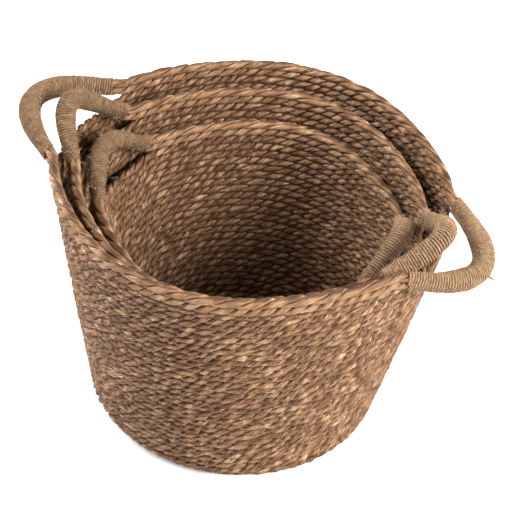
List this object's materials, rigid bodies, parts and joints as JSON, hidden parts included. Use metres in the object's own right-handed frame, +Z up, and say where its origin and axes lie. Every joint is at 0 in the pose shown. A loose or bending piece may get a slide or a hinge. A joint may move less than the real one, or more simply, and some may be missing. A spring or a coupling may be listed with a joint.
{
  "type": "nest of coiled rope laundry baskets",
  "caption": "Round flared laundry baskets coiled from twisted plant-leaf rope, nested one inside the other, with loop handles bound in jute yarn.",
  "frame": {"origin": "centre of the large basket's round underside, on the surface it stands on", "axes": "+Z up through the open tops; the handles lie along X; the view from the front looks along +Y"},
  "size_m": [0.5303, 0.4226, 0.3163],
  "materials": {
    "coil_rope": "twisted dry leaf rope, matt, light straw to mid brown, dark between the rows",
    "rim_rope": "the same rope in broader, smoother and paler leaves",
    "jute_yarn": "spun jute yarn wound closely, matt and hairy"
  },
  "bodies": {
    "large_basket": {"large_base_coil": "coil_rope", "large_wall_coil": "coil_rope", "large_rim_front": "rim_rope", "large_rim_back": "rim_rope"},
    "large_handle_left": {"large_handle_core_left": "rim_rope", "large_handle_wrap_left": "jute_yarn"},
    "large_handle_right": {"large_handle_core_right": "rim_rope", "large_handle_wrap_right": "jute_yarn"},
    "medium_basket": {"medium_base_coil": "coil_rope", "medium_wall_coil": "coil_rope", "medium_rim_front": "rim_rope", "medium_rim_back": "rim_rope"},
    "medium_handle_left": {"medium_handle_core_left": "rim_rope", "medium_handle_wrap_left": "jute_yarn"},
    "medium_handle_right": {"medium_handle_core_right": "rim_rope", "medium_handle_wrap_right": "jute_yarn"},
    "small_basket": {"small_base_coil": "coil_rope", "small_wall_coil": "coil_rope", "small_rim_front": "rim_rope", "small_rim_back": "rim_rope"},
    "small_handle_left": {"small_handle_core_left": "rim_rope", "small_handle_wrap_left": "jute_yarn"},
    "small_handle_right": {"small_handle_core_right": "rim_rope", "small_handle_wrap_right": "jute_yarn"}
  },
  "joints": [
    {"name": "medium_lift_out", "type": "slide", "parent": "large_basket", "child": "medium_basket", "axis": [0, 0, 1], "range_m": [0, 0.29]},
    {"name": "small_lift_out", "type": "slide", "parent": "medium_basket", "child": "small_basket", "axis": [0, 0, 1], "range_m": [0, 0.26]},
    {"name": "large_left_handle_flex", "type": "hinge", "parent": "large_basket", "child": "large_handle_left", "pos_m": [-0.20617, 0, 0.28804], "axis": [0, 1, 0], "range_deg": [-12, 12], "stiffness_Nm_per_rad": 2},
    {"name": "large_right_handle_flex", "type": "hinge", "parent": "large_basket", "child": "large_handle_right", "pos_m": [0.20604, 0, 0.28329], "axis": [0, -1, 0], "range_deg": [-12, 12], "stiffness_Nm_per_rad": 2},
    {"name": "medium_left_handle_flex", "type": "hinge", "parent": "medium_basket", "child": "medium_handle_left", "pos_m": [-0.18191, -0.00281, 0.27772], "axis": [0.0175, 0.9998, 0], "range_deg": [-10, 12], "stiffness_Nm_per_rad": 2},
    {"name": "medium_right_handle_flex", "type": "hinge", "parent": "medium_basket", "child": "medium_handle_right", "pos_m": [0.18378, -0.00919, 0.27786], "axis": [-0.0175, -0.9998, 0], "range_deg": [-10, 12], "stiffness_Nm_per_rad": 2},
    {"name": "small_left_handle_flex", "type": "hinge", "parent": "small_basket", "child": "small_handle_left", "pos_m": [-0.1485, -0.00881, 0.24725], "axis": [-0.0349, 0.9994, 0], "range_deg": [-8, 12], "stiffness_Nm_per_rad": 2},
    {"name": "small_right_handle_flex", "type": "hinge", "parent": "small_basket", "child": "small_handle_right", "pos_m": [0.15384, 0.00175, 0.24825], "axis": [0.0349, -0.9994, 0], "range_deg": [-8, 12], "stiffness_Nm_per_rad": 2}
  ]
}
